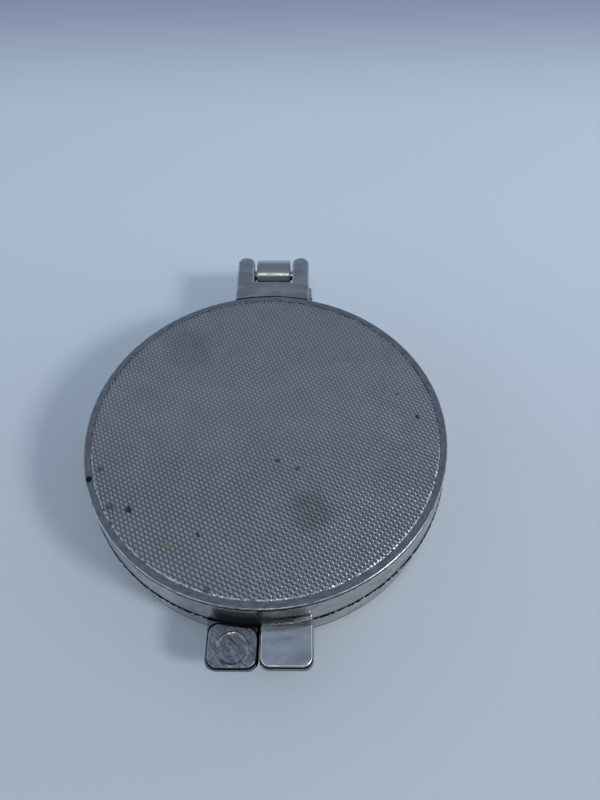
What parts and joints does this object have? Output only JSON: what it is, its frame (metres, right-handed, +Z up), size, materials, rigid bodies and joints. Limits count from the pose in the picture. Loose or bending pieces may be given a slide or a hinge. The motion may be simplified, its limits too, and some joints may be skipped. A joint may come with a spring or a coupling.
{
  "type": "waffle iron",
  "caption": "Round hinged waffle iron: two cast half shells with knurled faces, waffle grids inside, side-by-side opening tabs and a rear pin hinge.",
  "frame": {"origin": "centre of the underside's knurled face, on the disc's axis, at the plane it rests on", "axes": "+Z up through the disc, +Y towards the hinge, -Y towards the opening tabs, +X to the right seen from the tabs"},
  "size_m": [0.1224, 0.1596, 0.0254],
  "materials": {
    "cast_shell": "worn polished casting",
    "knurled_face": "knurled, dull",
    "grid_metal": "seasoned casting",
    "screw_steel": "plain",
    "pad_metal": "satin",
    "rivet_metal": "rough cast",
    "bush_brass": "plain",
    "pin_steel": "ground"
  },
  "bodies": {
    "lower_half": {"lower_shell": "cast_shell", "lower_knurled_plate": "knurled_face", "lower_waffle_grid": "grid_metal", "lower_grid_screws": "screw_steel", "lower_thumb_pad": "pad_metal", "lower_pad_rivet": "rivet_metal", "hinge_bush": "bush_brass"},
    "upper_half": {"upper_shell": "cast_shell", "upper_knurled_plate": "knurled_face", "upper_waffle_grid": "grid_metal", "upper_grid_screws": "screw_steel", "upper_thumb_pad": "pad_metal", "upper_pad_rivet": "rivet_metal", "hinge_pin": "pin_steel"}
  },
  "joints": [
    {"name": "lid_hinge", "type": "hinge", "parent": "lower_half", "child": "upper_half", "pos_m": [0, 0.08, 0.0174], "axis": [-1, 0, 0], "range_deg": [0, 180]}
  ]
}
